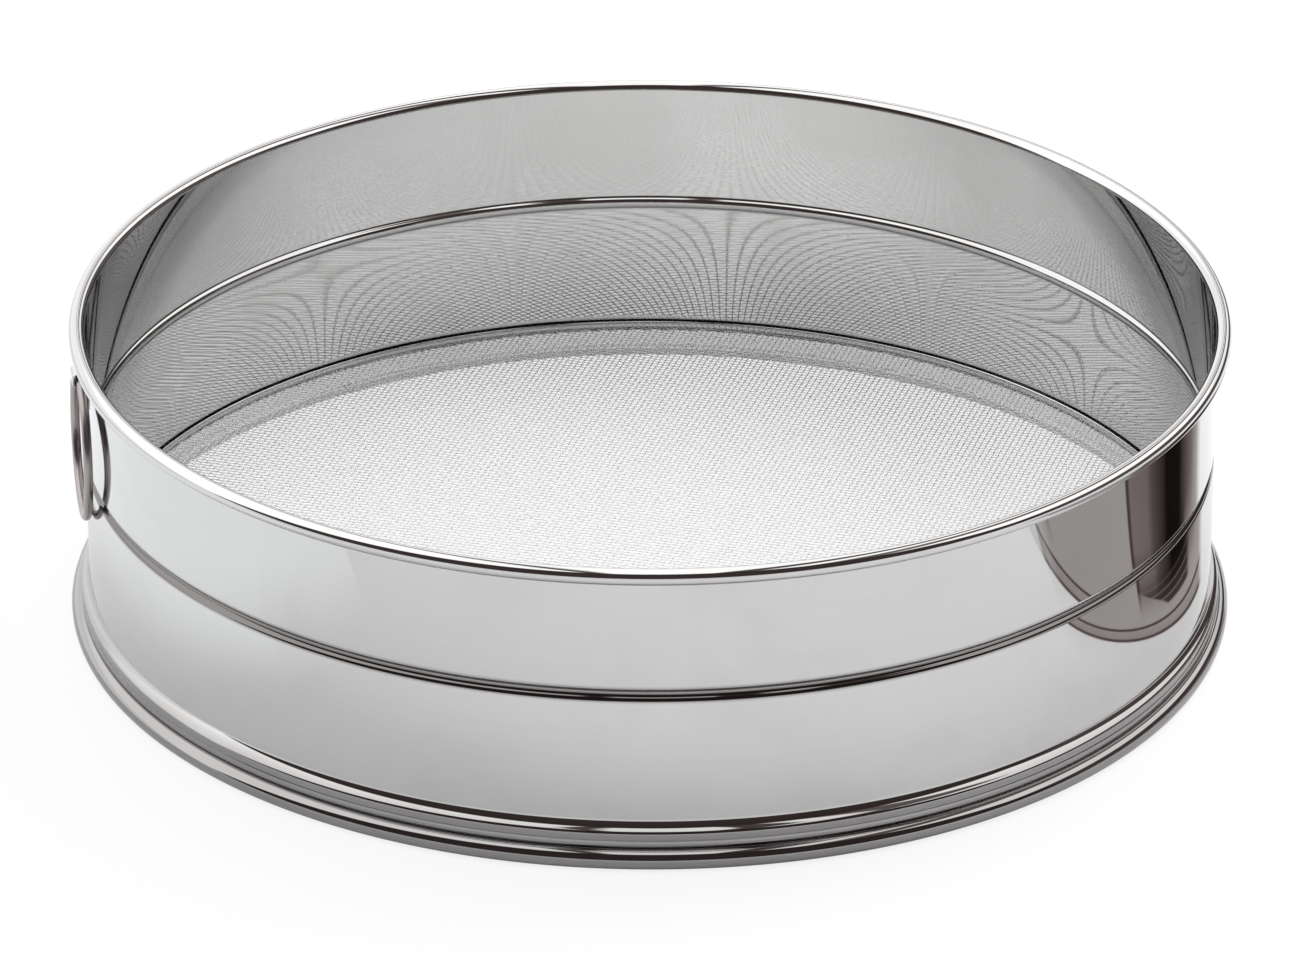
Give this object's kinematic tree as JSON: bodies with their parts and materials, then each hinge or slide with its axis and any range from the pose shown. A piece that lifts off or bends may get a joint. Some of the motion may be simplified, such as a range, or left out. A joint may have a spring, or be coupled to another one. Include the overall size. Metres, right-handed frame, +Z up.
{
  "type": "drum sieve",
  "caption": "Round drum sieve for flour: thin polished steel hoops with rolled edges, a woven wire mesh clamped at the base and a wire ring to hang it up.",
  "frame": {"origin": "centre of the sieve at the level of the table it stands on", "axes": "+Z up along the axis of the drum, -X towards the hanging ring, +Y by the right-hand rule"},
  "size_m": [0.3, 0.3, 0.082],
  "materials": {
    "polished_sheet": "mirror-polished stainless sheet",
    "woven_wire": "plain stainless wire cloth",
    "round_wire": "bright drawn stainless wire"
  },
  "bodies": {
    "sieve": {"drum_wall": "polished_sheet", "retaining_hoop": "polished_sheet", "mesh": "woven_wire", "foot_ring": "polished_sheet", "hanger_strap": "polished_sheet"},
    "ring": {"hanging_ring": "round_wire"}
  },
  "joints": [
    {"name": "ring_swing", "type": "hinge", "parent": "sieve", "child": "ring", "pos_m": [-0.1468, 0, 0.0735], "axis": [0, 1, 0], "range_deg": [0, 130]}
  ]
}
